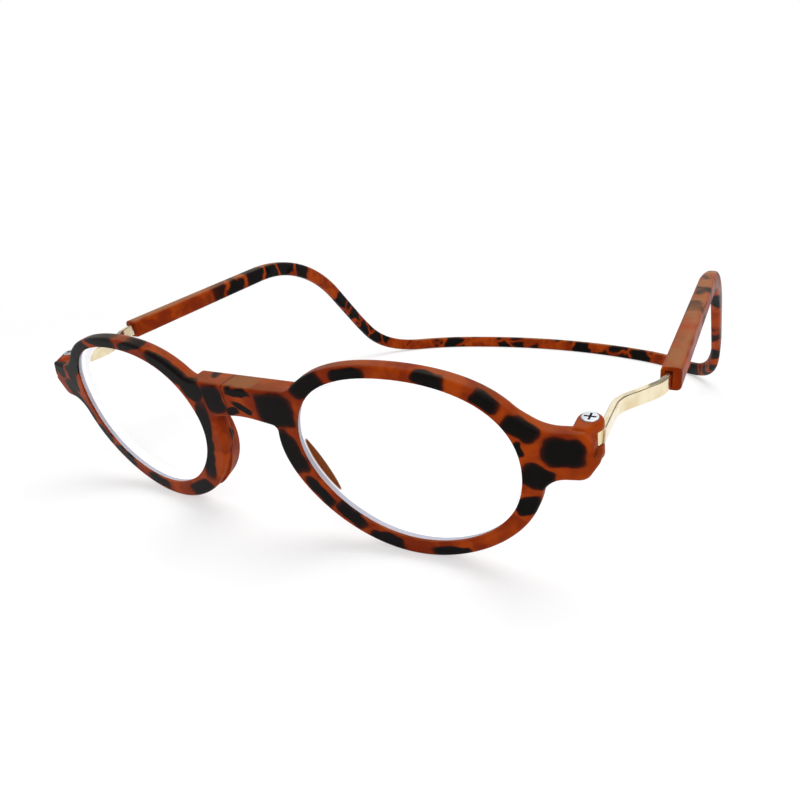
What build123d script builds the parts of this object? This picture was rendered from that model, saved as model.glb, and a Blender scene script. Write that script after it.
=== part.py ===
"""Reading glasses that part at a magnetic bridge, with a one-piece band behind the neck.

Millimetres. +X is the wearer's left, +Y runs back from the lenses to the neck, +Z is up.
The glasses stand on a table: on the lower edges of both rims and on the neck band.

The front is drawn on a plane that leans forward at its top. A place on it is given as
across (along X), height (up the leaning plane) and depth (square to it, backwards).
Places along the temples are given by how far they are behind the bridge's front face.
The left half is drawn, and its loose parts are mirrored for the right half.
"""

import math
import os

from build123d import *

# The front: one wide arc, leaning forward at its top
lean = 16.2
front_radius = 345.0
rim_depth = 3.6
rim_front_round = 0.7
rim_back_round = 1.6

# Each lens opening, as its eight outline points in shares of its half sizes
lens_across = 32.1
lens_drop = 1.0
lens_half_width = 20.1
lens_half_height = 16.65
opening_shares = [
    (1.0, 0.08), (0.81, 0.645), (0.0, 1.0), (-0.81, 0.69),
    (-1.0, 0.155), (-0.81, -0.49), (0.0, -1.0), (0.81, -0.61),
]

# The rim round each lens: wide at the nose, slender on top
rim_nose_width = 4.7
rim_temple_width = 3.2
rim_top_width = 1.95
rim_bottom_width = 3.75
rim_shares = [
    (1.0, 0.06), (0.785, 0.67), (0.0, 1.0), (-0.745, 0.745),
    (-1.0, 0.1), (-0.79, -0.546), (-0.03, -1.0), (0.782, -0.61),
]

# Lens and its groove
lens_setback = 0.5
lens_thickness = 2.2
lens_bite = 0.45
groove_clearance = 0.05

# Bridge, parted by the magnets a little off the middle
seam_across = -2.8
seam_gap = 0.04
bridge_top = 11.2
bridge_bottom = 4.9
bridge_bottom_fall = 1.4
bridge_depth = 4.9
bridge_block_reach = 11.0
bridge_top_blend = 4.5
bridge_bottom_blend = 1.0
bridge_arch_radius = 20.0
bridge_round = 0.8

# Magnet and the steel cup that backs it, one pair in each half of the bridge
magnet_radius = 1.5
magnet_length = 2.0
cup_wall = 0.3
cup_floor = 0.4
magnet_clearance = 0.02
magnet_recess = 0.03

# Nose pads, moulded with the rims
pad_top_across = 9.3
pad_top_height = 3.2
pad_mid_across = 9.4
pad_mid_height = -5.2
pad_tip_across = 15.6
pad_tip_height = -14.0
pad_thickness = 2.4
pad_root_depth = 1.8
pad_top_depth = 3.9
pad_reach = 5.0
pad_tip_depth = 4.0
pad_splay = 1.3

# End pieces, each with two lugs that hold the metal arm on a screw
end_projection = 8.9
end_top_start_inset = 7.9
end_top_start_height = 13.0
end_dip_outset = 0.45
end_top_height = 7.25
end_slant_inset = 2.6
end_tip_height = 2.9
end_bottom_inset = 2.4
end_bottom_height = -1.3
end_bottom_start_inset = 0.6
end_bottom_start_height = -1.5
end_corner_round = 2.2
end_top_blend = 8.0
end_bottom_blend = 4.0
hinge_inset = 2.8
hinge_depth = 4.6
boss_radius = 2.1
boss_height = 7.6
boss_foot = 0.3
boss_round = 0.9
boss_lead = 3.7
boss_lead_width = 2.4
slot_bottom = 3.1
slot_height = 2.9
slot_mouth_inset = 1.3

# Hinge screw and its threaded insert
screw_radius = 0.75
screw_head_radius = 1.4
screw_head_height = 0.8
screw_head_stand = 0.15
screw_head_round = 0.18
screw_cross_width = 0.36
screw_cross_length = 1.9
screw_cross_depth = 0.35
screw_clearance = 0.04
eye_clearance = 0.05
insert_wall = 0.4
insert_length = 1.6
insert_lift = 0.6
screw_end_lift = 0.5

# Metal arm: an eye on the screw, a strip that jogs outwards and a tail in the sleeve
arm_thickness = 1.1
arm_height = 2.7
arm_eye_radius = 1.85
arm_eye_gap = 0.1
arm_root_outset = 1.7
arm_first_bend_outset = 1.4
arm_first_bend_behind = 19.3
arm_second_bend_behind = 28.0
arm_rise_bend_behind = 22.6
arm_bend_radius = 8.0
arm_side_bend_radius = 30.0
arm_shoulder_gap = 0.4
arm_edge_round = 0.2
arm_tail_length = 42.0
arm_travel = 18.0
slot_side_gap = 0.3

# Temple and neck band, moulded in one: a sleeve, a rise, a fall and a flat band
temple_outset = 5.3
temple_rise = 11.5
temple_fall = 40.4
sleeve_mouth_behind = 31.0
sleeve_mouth_height = 31.2
temple_crest_behind = 104.8
crest_radius = 50.0
foot_radius = 40.0
temple_height = 4.5
sleeve_thickness = 3.7
band_thickness = 2.7
sleeve_taper_start = 84.0
sleeve_taper_end = 96.0
band_back_behind = 192.0
band_radius = 95.0
band_corner_radius = 50.0
band_round = 0.95
mouth_round = 0.4
tail_inset = 0.4
channel_clearance = 0.1
channel_end_gap = 2.0

# Leaf spring and rivet at the tail's end, which hold the arm where it is pulled to
leaf_thickness = 0.2
leaf_height = 1.5
leaf_length = 12.0
leaf_bow = 0.15
leaf_margin = 1.2
relief_depth = 0.45
relief_side_gap = 0.25
rivet_radius = 0.4
rivet_head_radius = 0.6
rivet_head_height = 0.1
rivet_clearance = 0.02

# One overrun for every cut
overrun = 2.0

lean_sin = math.sin(math.radians(lean))
lean_cos = math.cos(math.radians(lean))
rise_sin = math.sin(math.radians(temple_rise))
rise_cos = math.cos(math.radians(temple_rise))
rise_tan = math.tan(math.radians(temple_rise))
fall_tan = math.tan(math.radians(temple_fall))


def arc_depth(across):
    """How far the front's arc has swept back at a distance from the middle."""
    return front_radius - math.sqrt(front_radius**2 - across**2)


# The rims' rounded lower edges stand on the table, and the origin is at mid depth
rim_low = lens_half_height + rim_bottom_width + lens_drop
rim_high = lens_half_height + rim_top_width - lens_drop
low_centre_depth = arc_depth(lens_across) + rim_front_round
front_height = (rim_low - rim_front_round) * lean_cos - low_centre_depth * lean_sin + rim_front_round
front_lead = rim_high * lean_sin - arc_depth(lens_across) * lean_cos
front_y = -(band_back_behind + band_thickness / 2 - front_lead) / 2

front_origin = Vector(0, front_y, front_height)
front_plane = Plane(origin=front_origin, x_dir=(1, 0, 0), z_dir=(0, -lean_cos, -lean_sin))
depth_plane = Plane(origin=front_origin, x_dir=(1, 0, 0), z_dir=(0, -lean_sin, lean_cos))
side_plane = Plane(origin=front_origin, x_dir=(0, lean_cos, lean_sin), z_dir=(1, 0, 0))


def side_point(height, depth):
    """The Y and Z of a place given by its height and depth on the leaning front."""
    y = front_origin.Y - height * lean_sin + depth * lean_cos
    z = front_origin.Z + height * lean_cos + depth * lean_sin
    return y, z


def outline_points(shares, left, right, top, bottom):
    """Outline points round the lens opening, from shares of its half sizes and four widths."""
    points = []
    for share_across, share_up in shares:
        half_width = lens_half_width + (right if share_across > 0 else left)
        half_height = lens_half_height + (top if share_up > 0 else bottom)
        across = lens_across + share_across * half_width
        points.append((across, share_up * half_height - lens_drop))
    return points


def corners_between(sketch, near, far, low, high):
    """A sketch's corners within limits of distance from the middle and of height."""
    return [corner for corner in sketch.vertices() if near <= abs(corner.X) <= far and low <= corner.Y <= high]


def mitred(points, distance):
    """A polyline moved sideways by a distance, to the left of its direction."""
    moved = []
    last = len(points) - 1
    for index in range(len(points)):
        here = Vector(*points[index])
        ahead = (Vector(*points[min(index + 1, last)]) - Vector(*points[min(index, last - 1)])).normalized()
        behind = (Vector(*points[max(index, 1)]) - Vector(*points[max(index - 1, 0)])).normalized()
        left = Vector(-ahead.Y - behind.Y, ahead.X + behind.X)
        spread = here + left.normalized() * (2 * distance / left.length)
        moved.append((spread.X, spread.Y))
    return moved


def back_place(radius, across):
    """A place on one of the neck band's back arcs, in the view from above."""
    return across, front_y + band_back_behind - band_radius + math.sqrt(radius**2 - across**2)


# The end pieces reach past the rims, and the hinges and temples take their place from them
rim_side = lens_across + lens_half_width + rim_temple_width
end_reach = rim_side + end_projection
hinge_across = end_reach - hinge_inset
dip_end = rim_side + 2 * end_dip_outset
temple_across = end_reach + temple_outset

# Places that several parts share
front_sweep = arc_depth(end_reach) + rim_depth + overrun
front_span = rim_low + rim_high
arm_tail_across = temple_across - tail_inset
channel_length = arm_tail_length + channel_end_gap
eye_height = slot_height - 2 * arm_eye_gap
hinge_full_depth = arc_depth(hinge_across) + hinge_depth
slot_middle = slot_bottom + slot_height / 2
bridge_middle = (bridge_top + bridge_bottom) / 2
cup_radius = magnet_radius + magnet_clearance + cup_wall
insert_inner_radius = screw_radius + screw_clearance
insert_outer_radius = insert_inner_radius + insert_wall
insert_foot = boss_foot + insert_lift
screw_seat = boss_height + screw_head_stand - screw_head_height
relief_length = arm_travel + leaf_length + leaf_margin + channel_end_gap
hinge_place = (hinge_across, hinge_full_depth)
magnet_y, magnet_z = side_point(bridge_middle, bridge_depth / 2)
magnet_plane = Plane(
    origin=(seam_across, magnet_y, magnet_z), x_dir=(0, lean_cos, lean_sin), z_dir=(1, 0, 0)
)

# The sleeve's axis, and places along it from the mouth
mouth_y = front_y + sleeve_mouth_behind
sleeve_plane = Plane(
    origin=(temple_across, mouth_y, sleeve_mouth_height), x_dir=(1, 0, 0), z_dir=(0, rise_cos, rise_sin)
)
tail_plane = Plane(
    origin=(arm_tail_across, mouth_y, sleeve_mouth_height), x_dir=(1, 0, 0), z_dir=(0, -rise_sin, rise_cos)
)
leaf_rear = arm_tail_length - leaf_margin
leaf_front = leaf_rear - leaf_length
leaf_foot_end = leaf_front + 2 * leaf_margin
leaf_middle = (leaf_foot_end + leaf_rear) / 2
rivet_along = leaf_front + leaf_margin
rivet_plane = Plane(
    origin=(arm_tail_across, mouth_y + rivet_along * rise_cos, sleeve_mouth_height + rivet_along * rise_sin),
    x_dir=(0, rise_cos, rise_sin),
    z_dir=(1, 0, 0),
)

# The arm rises from the hinge and bends a little to follow the sleeve
hinge_y, hinge_z = side_point(slot_middle, hinge_full_depth)
mouth_line = sleeve_mouth_height - rise_tan * mouth_y
bend_y = front_y + arm_rise_bend_behind
bend_z = mouth_line + rise_tan * bend_y
root_slope = (bend_z - hinge_z) / (bend_y - hinge_y)
tail_end_y = mouth_y + arm_tail_length * rise_cos
arm_side = [
    (hinge_y - arm_height, hinge_z - arm_height * root_slope),
    (bend_y, bend_z),
    (tail_end_y, mouth_line + rise_tan * tail_end_y),
]
arm_path = [
    (hinge_across + arm_root_outset, hinge_y),
    (hinge_across + arm_first_bend_outset, front_y + arm_first_bend_behind),
    (arm_tail_across, front_y + arm_second_bend_behind),
    (arm_tail_across, tail_end_y + overrun),
]
arm_top = mitred(arm_side, arm_height / 2)
arm_foot = mitred(arm_side, -arm_height / 2)
arm_inner = mitred(arm_path, arm_thickness / 2)
arm_outer = mitred(arm_path, -arm_thickness / 2)
bend_wide = arm_bend_radius + arm_thickness / 2
bend_tight = arm_bend_radius - arm_thickness / 2

# The temple and band from above, and from the side
sleeve_half = sleeve_thickness / 2
band_half = band_thickness / 2
taper_start_y = front_y + sleeve_taper_start
taper_end_y = front_y + sleeve_taper_end
outer_corner = back_place(band_radius + band_half, temple_across + band_half)
inner_corner = back_place(band_radius - band_half, temple_across - band_half)
crest_y = front_y + temple_crest_behind
crest_z = mouth_line + rise_tan * crest_y
foot_y = crest_y + (crest_z - temple_height / 2) / fall_tan
temple_side = [
    (mouth_y, sleeve_mouth_height),
    (crest_y, crest_z),
    (foot_y, temple_height / 2),
    (front_y + band_back_behind + overrun, temple_height / 2),
]
side_above = mitred(temple_side, temple_height / 2)
side_below = mitred(temple_side, -temple_height / 2)

# Lens, curved with the front
lens_points = outline_points(opening_shares, lens_bite, lens_bite, lens_bite, lens_bite)
with BuildPart() as lens_left:
    with BuildSketch(front_plane):
        with BuildLine():
            Spline(*lens_points, periodic=True)
        make_face()
    extrude(amount=-front_sweep)
    with BuildSketch(depth_plane):
        with Locations((0, front_radius)):
            Circle(front_radius - lens_setback)
            Circle(front_radius - lens_setback - lens_thickness, mode=Mode.SUBTRACT)
    extrude(amount=front_span, both=True, mode=Mode.INTERSECT)

with BuildPart() as lens_right:
    mirror(lens_left.part, about=Plane.YZ)

# Room for the lens in the rim: the opening and the groove round it
groove_bite = lens_bite + groove_clearance
groove_points = outline_points(opening_shares, groove_bite, groove_bite, groove_bite, groove_bite)
with BuildPart() as groove:
    with BuildSketch(front_plane):
        with BuildLine():
            Spline(*groove_points, periodic=True)
        make_face()
    extrude(amount=-front_sweep)
    with BuildSketch(depth_plane):
        with Locations((0, front_radius)):
            Circle(front_radius - lens_setback + groove_clearance)
            Circle(front_radius - lens_setback - lens_thickness - groove_clearance, mode=Mode.SUBTRACT)
    extrude(amount=front_span, both=True, mode=Mode.INTERSECT)

# Nose pad: a fin that splays outwards behind the rim's nose side
with BuildPart() as nose_pad:
    with BuildSketch(front_plane.offset(-pad_root_depth)):
        pad_line = Edge.make_three_point_arc(
            Vector(pad_top_across, pad_top_height),
            Vector(pad_mid_across, pad_mid_height),
            Vector(pad_tip_across, pad_tip_height),
        )
        SlotArc(arc=pad_line, height=pad_thickness)
    pad_slant = Vector(pad_splay, pad_reach * lean_cos, pad_reach * lean_sin)
    extrude(amount=pad_slant.length, dir=pad_slant.normalized())
    with BuildSketch(side_plane):
        with BuildLine():
            pad_face = Spline(
                (pad_top_depth, pad_top_height + pad_thickness),
                (pad_reach, pad_mid_height),
                (pad_tip_depth, pad_tip_height - pad_thickness),
            )
            Polyline(
                pad_face @ 1,
                (0, pad_tip_height - pad_thickness),
                (0, pad_top_height + pad_thickness),
                pad_face @ 0,
            )
        make_face()
    extrude(amount=lens_across, mode=Mode.INTERSECT)

# Hinge boss behind the end piece, drawn forward into it and rounded at both ends
with BuildPart() as boss:
    with BuildSketch(depth_plane.offset(boss_foot)):
        with Locations(hinge_place):
            Circle(boss_radius)
        with Locations((hinge_across - boss_radius, hinge_full_depth)):
            Rectangle(boss_lead_width, boss_lead, align=(Align.MIN, Align.MAX))
        make_hull()
    extrude(amount=boss_height - boss_foot)
    boss_ends = boss.faces().sort_by(Axis.Z)
    fillet(boss_ends[0].edges() + boss_ends[-1].edges(), boss_round)

# Room in the end piece: the arm's slot, the screw's bore and head, and the insert
with BuildPart() as hinge_room:
    with BuildSketch(depth_plane.offset(slot_bottom)):
        with Locations(hinge_place):
            Circle(arm_eye_radius + slot_side_gap)
            Rectangle(end_reach, end_reach, align=(Align.MIN, Align.MIN))
        with Locations((end_reach - slot_mouth_inset, 0)):
            Rectangle(end_reach, end_reach, align=(Align.MIN, Align.MIN))
    extrude(amount=slot_height)
    with BuildSketch(depth_plane.offset(insert_foot)):
        with Locations(hinge_place):
            Circle(screw_radius + screw_clearance)
    extrude(amount=boss_height - insert_foot)
    with BuildSketch(depth_plane.offset(screw_seat)):
        with Locations(hinge_place):
            Circle(screw_head_radius + screw_clearance)
    extrude(amount=overrun)
    with BuildSketch(depth_plane.offset(insert_foot - screw_clearance)):
        with Locations(hinge_place):
            Circle(insert_outer_radius + screw_clearance)
    extrude(amount=insert_length + 2 * screw_clearance)

# The bridge is a little deeper than the rims, to hold the magnets
with BuildPart() as bridge_block:
    with BuildSketch(front_plane.offset(-rim_front_round)):
        with BuildLine():
            Polyline(
                (-bridge_block_reach, bridge_top),
                (bridge_block_reach, bridge_top),
                (bridge_block_reach, bridge_bottom - bridge_bottom_fall),
                (0, bridge_bottom),
                (-bridge_block_reach, bridge_bottom - bridge_bottom_fall),
                close=True,
            )
        make_face()
    extrude(amount=rim_front_round - bridge_depth)
    block_back = bridge_block.faces().sort_by(Axis.Y)[-1]
    fillet(block_back.edges(), bridge_round)

# Front moulding: rims, bridge and end pieces in one outline, bent to the front's arc
rim_widths = (rim_nose_width, rim_temple_width, rim_top_width, rim_bottom_width)
nose_side = lens_across - lens_half_width
with BuildPart() as front:
    with BuildSketch(front_plane) as front_outline:
        with BuildLine():
            Spline(*outline_points(rim_shares, *rim_widths), periodic=True)
        make_face()
        with BuildLine():
            Polyline(
                (0, bridge_top),
                (nose_side, bridge_top),
                (nose_side, bridge_bottom - bridge_bottom_fall),
                (nose_side - rim_nose_width / 2, bridge_bottom - bridge_bottom_fall),
                (0, bridge_bottom),
                close=True,
            )
        make_face()
        with BuildLine():
            Polyline(
                (rim_side - end_top_start_inset, end_top_start_height),
                (rim_side + end_dip_outset, end_top_height),
                (end_reach - end_slant_inset, end_top_height),
                (end_reach, end_tip_height),
                (end_reach - end_bottom_inset, end_bottom_height),
                (rim_side - end_bottom_start_inset, end_bottom_start_height),
                (lens_across + lens_half_width, 0),
                close=True,
            )
        make_face()
        with BuildLine():
            Spline(*outline_points(opening_shares, 0, 0, 0, 0), periodic=True)
        make_face(mode=Mode.SUBTRACT)
        mirror(about=Plane.YZ)
        fillet(corners_between(front_outline, 0, lens_across, bridge_middle, rim_high), bridge_top_blend)
        fillet(corners_between(front_outline, pad_thickness, lens_across, 0, bridge_middle), bridge_bottom_blend)
        fillet(corners_between(front_outline, 0, overrun, 0, bridge_middle), bridge_arch_radius)
        fillet(corners_between(front_outline, hinge_across, front_radius, -rim_low, slot_middle), end_corner_round)
        fillet(corners_between(front_outline, lens_across, dip_end, bridge_middle, rim_high), end_top_blend)
        fillet(corners_between(front_outline, rim_side, dip_end, slot_middle, bridge_middle), end_top_blend)
        fillet(corners_between(front_outline, lens_across, dip_end, -bridge_middle, 0), end_bottom_blend)
    extrude(amount=-front_sweep)
    with BuildSketch(depth_plane):
        with Locations((0, front_radius)):
            Circle(front_radius)
            Circle(front_radius - rim_depth, mode=Mode.SUBTRACT)
    extrude(amount=front_span, both=True, mode=Mode.INTERSECT)
    bent_faces = front.faces().filter_by(GeomType.CYLINDER).sort_by(SortBy.AREA)
    front_face, back_face = bent_faces[-2:].sort_by(Axis.Y)
    fillet(front_face.outer_wire().edges(), rim_front_round)
    fillet(back_face.outer_wire().edges(), rim_back_round)
    add(bridge_block.part)
    add(nose_pad.part)
    add(boss.part)
    mirror(nose_pad.part, about=Plane.YZ)
    mirror(boss.part, about=Plane.YZ)
    add(hinge_room.part, mode=Mode.SUBTRACT)
    add(groove.part, mode=Mode.SUBTRACT)
    mirror(hinge_room.part, about=Plane.YZ, mode=Mode.SUBTRACT)
    mirror(groove.part, about=Plane.YZ, mode=Mode.SUBTRACT)
    with BuildSketch(magnet_plane):
        Circle(cup_radius + magnet_clearance)
    extrude(amount=magnet_length + cup_floor + 2 * seam_gap, both=True, mode=Mode.SUBTRACT)

# The moulding is parted at the seam
with BuildPart() as rim_left:
    add(front.part)
    split(bisect_by=Plane.YZ.offset(seam_across + seam_gap / 2), keep=Keep.TOP)

with BuildPart() as rim_right:
    add(front.part)
    split(bisect_by=Plane.YZ.offset(seam_across - seam_gap / 2), keep=Keep.BOTTOM)

# Magnet and cup in the left half of the bridge, and their mirror images across the seam
with BuildPart(magnet_plane.offset(seam_gap / 2 + magnet_recess)) as bridge_magnet_left:
    Cylinder(magnet_radius, magnet_length, align=(Align.CENTER, Align.CENTER, Align.MIN))

with BuildPart(magnet_plane.offset(seam_gap / 2 + magnet_recess)) as magnet_cup_left:
    Cylinder(cup_radius, magnet_length + cup_floor, align=(Align.CENTER, Align.CENTER, Align.MIN))
    Cylinder(
        magnet_radius + magnet_clearance,
        magnet_length + magnet_clearance,
        align=(Align.CENTER, Align.CENTER, Align.MIN),
        mode=Mode.SUBTRACT,
    )

with BuildPart() as bridge_magnet_right:
    mirror(bridge_magnet_left.part, about=Plane.YZ.offset(seam_across))

with BuildPart() as magnet_cup_right:
    mirror(magnet_cup_left.part, about=Plane.YZ.offset(seam_across))

# Hinge screw: a domed head with a cross recess and a shank down into the insert
with BuildPart() as hinge_screw_left:
    with BuildSketch(depth_plane.offset(screw_seat)):
        with Locations(hinge_place):
            Circle(screw_head_radius)
    extrude(amount=screw_head_height)
    fillet(hinge_screw_left.edges().sort_by(Axis.Z)[-1], screw_head_round)
    with BuildSketch(depth_plane.offset(insert_foot + screw_end_lift)):
        with Locations(hinge_place):
            Circle(screw_radius)
    extrude(amount=screw_seat - insert_foot - screw_end_lift)
    with BuildSketch(depth_plane.offset(screw_seat + screw_head_height)):
        with Locations(hinge_place):
            Rectangle(screw_cross_length, screw_cross_width)
            Rectangle(screw_cross_width, screw_cross_length)
    extrude(amount=-screw_cross_depth, mode=Mode.SUBTRACT)

with BuildPart() as hinge_screw_right:
    mirror(hinge_screw_left.part, about=Plane.YZ)

# Threaded insert in the lower lug
with BuildPart() as screw_insert_left:
    with BuildSketch(depth_plane.offset(insert_foot)):
        with Locations(hinge_place):
            Circle(insert_outer_radius)
            Circle(insert_inner_radius, mode=Mode.SUBTRACT)
    extrude(amount=insert_length)

with BuildPart() as screw_insert_right:
    mirror(screw_insert_left.part, about=Plane.YZ)

# Metal arm: its view from above crossed with its view from the side, and an eye
with BuildPart() as arm_left:
    with BuildSketch(Plane.XY) as arm_above:
        with BuildLine():
            Polyline(*arm_inner, *arm_outer[::-1], close=True)
        make_face()
        fillet(arm_above.vertices().sort_by_distance(arm_inner[1])[0], bend_wide)
        fillet(arm_above.vertices().sort_by_distance(arm_outer[1])[0], bend_tight)
        fillet(arm_above.vertices().sort_by_distance(arm_inner[2])[0], bend_tight)
        fillet(arm_above.vertices().sort_by_distance(arm_outer[2])[0], bend_wide)
    extrude(amount=2 * sleeve_mouth_height)
    with BuildSketch(Plane.YZ) as arm_beside:
        with BuildLine():
            Polyline(*arm_top, *arm_foot[::-1], close=True)
        make_face()
        fillet(arm_beside.vertices().sort_by_distance(arm_top[1])[0], arm_side_bend_radius)
        fillet(arm_beside.vertices().sort_by_distance(arm_foot[1])[0], arm_side_bend_radius)
    extrude(amount=temple_across + sleeve_thickness, mode=Mode.INTERSECT)
    arm_ends = arm_left.faces().sort_by(Axis.Y)
    arm_edges = arm_left.edges().filter_by(Axis.Z, reverse=True)
    fillet(arm_edges - arm_ends[0].edges() - arm_ends[-1].edges(), arm_edge_round)
    with BuildSketch(depth_plane.offset(slot_middle - arm_height)):
        with Locations(hinge_place):
            Circle(boss_radius + arm_shoulder_gap)
    extrude(amount=arm_height - eye_height / 2, mode=Mode.SUBTRACT)
    with BuildSketch(depth_plane.offset(slot_middle + eye_height / 2)):
        with Locations(hinge_place):
            Circle(boss_radius + arm_shoulder_gap)
    extrude(amount=arm_height, mode=Mode.SUBTRACT)
    with BuildSketch(depth_plane.offset(slot_middle - eye_height / 2)):
        with Locations(hinge_place):
            Circle(arm_eye_radius)
    extrude(amount=eye_height)
    with BuildSketch(depth_plane.offset(slot_middle)):
        with Locations(hinge_place):
            Circle(screw_radius + eye_clearance)
    extrude(amount=arm_height, both=True, mode=Mode.SUBTRACT)
    with BuildSketch(rivet_plane):
        Circle(rivet_radius + rivet_clearance)
    extrude(amount=arm_thickness, both=True, mode=Mode.SUBTRACT)

with BuildPart() as arm_right:
    mirror(arm_left.part, about=Plane.YZ)

# Leaf spring: a flat foot on the tail and a bow outwards from it
leaf_inner = arm_thickness / 2
leaf_outer = leaf_inner + leaf_thickness
with BuildPart() as detent_spring_left:
    with BuildSketch(tail_plane):
        with BuildLine():
            Polyline((leaf_inner, leaf_rear), (leaf_outer, leaf_rear))
            ThreePointArc(
                (leaf_outer, leaf_rear), (leaf_outer + leaf_bow, leaf_middle), (leaf_outer, leaf_foot_end)
            )
            Polyline(
                (leaf_outer, leaf_foot_end),
                (leaf_outer, leaf_front),
                (leaf_inner, leaf_front),
                (leaf_inner, leaf_foot_end),
            )
            ThreePointArc(
                (leaf_inner, leaf_foot_end), (leaf_inner + leaf_bow, leaf_middle), (leaf_inner, leaf_rear)
            )
        make_face()
    extrude(amount=leaf_height / 2, both=True)
    with BuildSketch(rivet_plane):
        Circle(rivet_radius + rivet_clearance)
    extrude(amount=arm_thickness, both=True, mode=Mode.SUBTRACT)

with BuildPart() as detent_spring_right:
    mirror(detent_spring_left.part, about=Plane.YZ)

# Rivet that ties the leaf's foot to the tail
with BuildPart() as spring_rivet_left:
    with BuildSketch(rivet_plane.offset(-arm_thickness / 2)):
        Circle(rivet_radius)
    extrude(amount=arm_thickness + leaf_thickness)
    with BuildSketch(rivet_plane.offset(leaf_outer)):
        Circle(rivet_head_radius)
    extrude(amount=rivet_head_height)

with BuildPart() as spring_rivet_right:
    mirror(spring_rivet_left.part, about=Plane.YZ)

# Half of the temple and neck band: its view from above crossed with its side view
with BuildPart() as band_left:
    with BuildSketch(Plane.XY) as band_above:
        with BuildLine():
            Polyline(
                back_place(band_radius - band_half, 0),
                back_place(band_radius + band_half, 0),
            )
            ThreePointArc(
                back_place(band_radius + band_half, 0),
                back_place(band_radius + band_half, temple_across / 2),
                outer_corner,
            )
            Polyline(
                outer_corner,
                (temple_across + band_half, taper_end_y),
                (temple_across + sleeve_half, taper_start_y),
                (temple_across + sleeve_half, mouth_y - overrun),
                (temple_across - sleeve_half, mouth_y - overrun),
                (temple_across - sleeve_half, taper_start_y),
                (temple_across - band_half, taper_end_y),
                inner_corner,
            )
            ThreePointArc(
                inner_corner,
                back_place(band_radius - band_half, temple_across / 2),
                back_place(band_radius - band_half, 0),
            )
        make_face()
        fillet(band_above.vertices().sort_by_distance(outer_corner)[0], band_corner_radius + band_half)
        fillet(band_above.vertices().sort_by_distance(inner_corner)[0], band_corner_radius - band_half)
    extrude(amount=2 * sleeve_mouth_height)
    with BuildSketch(Plane.YZ) as band_side:
        with BuildLine():
            Polyline(*side_above, *side_below[::-1], close=True)
        make_face()
        fillet(band_side.vertices().sort_by_distance(side_above[1])[0], crest_radius + temple_height / 2)
        fillet(band_side.vertices().sort_by_distance(side_below[1])[0], crest_radius - temple_height / 2)
        fillet(band_side.vertices().sort_by_distance(side_above[2])[0], foot_radius - temple_height / 2)
        fillet(band_side.vertices().sort_by_distance(side_below[2])[0], foot_radius + temple_height / 2)
    extrude(amount=temple_across + sleeve_thickness, mode=Mode.INTERSECT)
    middle_face = band_left.faces().sort_by(Axis.X)[0]
    mouth_face = band_left.faces().sort_by(Axis.Y)[0]
    cross_edges = band_left.edges().filter_by(Axis.X) + band_left.edges().filter_by(Axis.Z)
    long_edges = band_left.edges() - cross_edges - middle_face.edges() - mouth_face.edges()
    fillet(long_edges, band_round)
    fillet(band_left.faces().sort_by(Axis.Y)[0].edges(), mouth_round)
    with BuildSketch(sleeve_plane):
        with Locations((-tail_inset, 0)):
            Rectangle(arm_thickness + 2 * channel_clearance, arm_height + 2 * channel_clearance)
    extrude(amount=channel_length, mode=Mode.SUBTRACT)
    with BuildSketch(sleeve_plane.offset(channel_length - relief_length)):
        with Locations((leaf_inner - tail_inset, 0)):
            Rectangle(2 * relief_depth, leaf_height + 2 * relief_side_gap)
    extrude(amount=relief_length, mode=Mode.SUBTRACT)

with BuildPart() as band_right:
    mirror(band_left.part, about=Plane.YZ)

os.makedirs("parts", exist_ok=True)
rim_left.part.label = "rim_left"
rim_right.part.label = "rim_right"
lens_left.part.label = "lens_left"
lens_right.part.label = "lens_right"
bridge_magnet_left.part.label = "bridge_magnet_left"
bridge_magnet_right.part.label = "bridge_magnet_right"
magnet_cup_left.part.label = "magnet_cup_left"
magnet_cup_right.part.label = "magnet_cup_right"
hinge_screw_left.part.label = "hinge_screw_left"
hinge_screw_right.part.label = "hinge_screw_right"
screw_insert_left.part.label = "screw_insert_left"
screw_insert_right.part.label = "screw_insert_right"
arm_left.part.label = "arm_left"
arm_right.part.label = "arm_right"
detent_spring_left.part.label = "detent_spring_left"
detent_spring_right.part.label = "detent_spring_right"
spring_rivet_left.part.label = "spring_rivet_left"
spring_rivet_right.part.label = "spring_rivet_right"
band_left.part.label = "band_left"
band_right.part.label = "band_right"

export_step(rim_left.part, "parts/rim_left.step")
export_step(rim_right.part, "parts/rim_right.step")
export_step(lens_left.part, "parts/lens_left.step")
export_step(lens_right.part, "parts/lens_right.step")
export_step(bridge_magnet_left.part, "parts/bridge_magnet_left.step")
export_step(bridge_magnet_right.part, "parts/bridge_magnet_right.step")
export_step(magnet_cup_left.part, "parts/magnet_cup_left.step")
export_step(magnet_cup_right.part, "parts/magnet_cup_right.step")
export_step(hinge_screw_left.part, "parts/hinge_screw_left.step")
export_step(hinge_screw_right.part, "parts/hinge_screw_right.step")
export_step(screw_insert_left.part, "parts/screw_insert_left.step")
export_step(screw_insert_right.part, "parts/screw_insert_right.step")
export_step(arm_left.part, "parts/arm_left.step")
export_step(arm_right.part, "parts/arm_right.step")
export_step(detent_spring_left.part, "parts/detent_spring_left.step")
export_step(detent_spring_right.part, "parts/detent_spring_right.step")
export_step(spring_rivet_left.part, "parts/spring_rivet_left.step")
export_step(spring_rivet_right.part, "parts/spring_rivet_right.step")
export_step(band_left.part, "parts/band_left.step")
export_step(band_right.part, "parts/band_right.step")
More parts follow.
